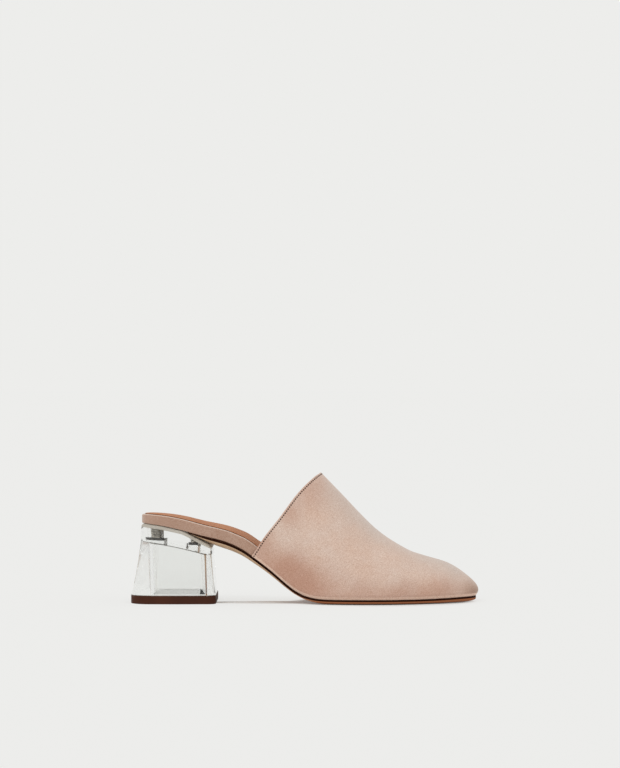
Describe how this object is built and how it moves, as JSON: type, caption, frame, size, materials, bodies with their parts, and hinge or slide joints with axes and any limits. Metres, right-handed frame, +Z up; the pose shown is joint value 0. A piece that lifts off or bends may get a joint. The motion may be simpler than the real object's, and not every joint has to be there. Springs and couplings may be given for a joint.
{
  "type": "block-heeled mule",
  "caption": "Right-foot closed-toe mule with a suede upper, wrapped insole board, thin outsole and clear block heel.",
  "frame": {"origin": "centre of the top lift's lower face, on the floor", "axes": "+X towards the toe, +Y to the medial side, +Z up"},
  "size_m": [0.2509, 0.0789, 0.0942],
  "materials": {
    "upper_suede": "fine-napped blush suede, matt",
    "wrap_suede": "the same suede, wrapped tight over the board's edge",
    "sock_leather": "smooth tan lining leather, satin",
    "outsole_leather": "smooth tan sole with a dark dyed edge",
    "clear_acrylic": "clear, polished",
    "screw_metal": "nickel-plated",
    "lift_rubber": "matt brown"
  },
  "bodies": {
    "root": {"upper": "upper_suede", "insole_board": "wrap_suede", "sock_lining": "sock_leather", "outsole": "outsole_leather", "heel_block": "clear_acrylic", "heel_screw_rear": "screw_metal", "heel_screw_front": "screw_metal", "top_lift": "lift_rubber"}
  },
  "joints": []
}
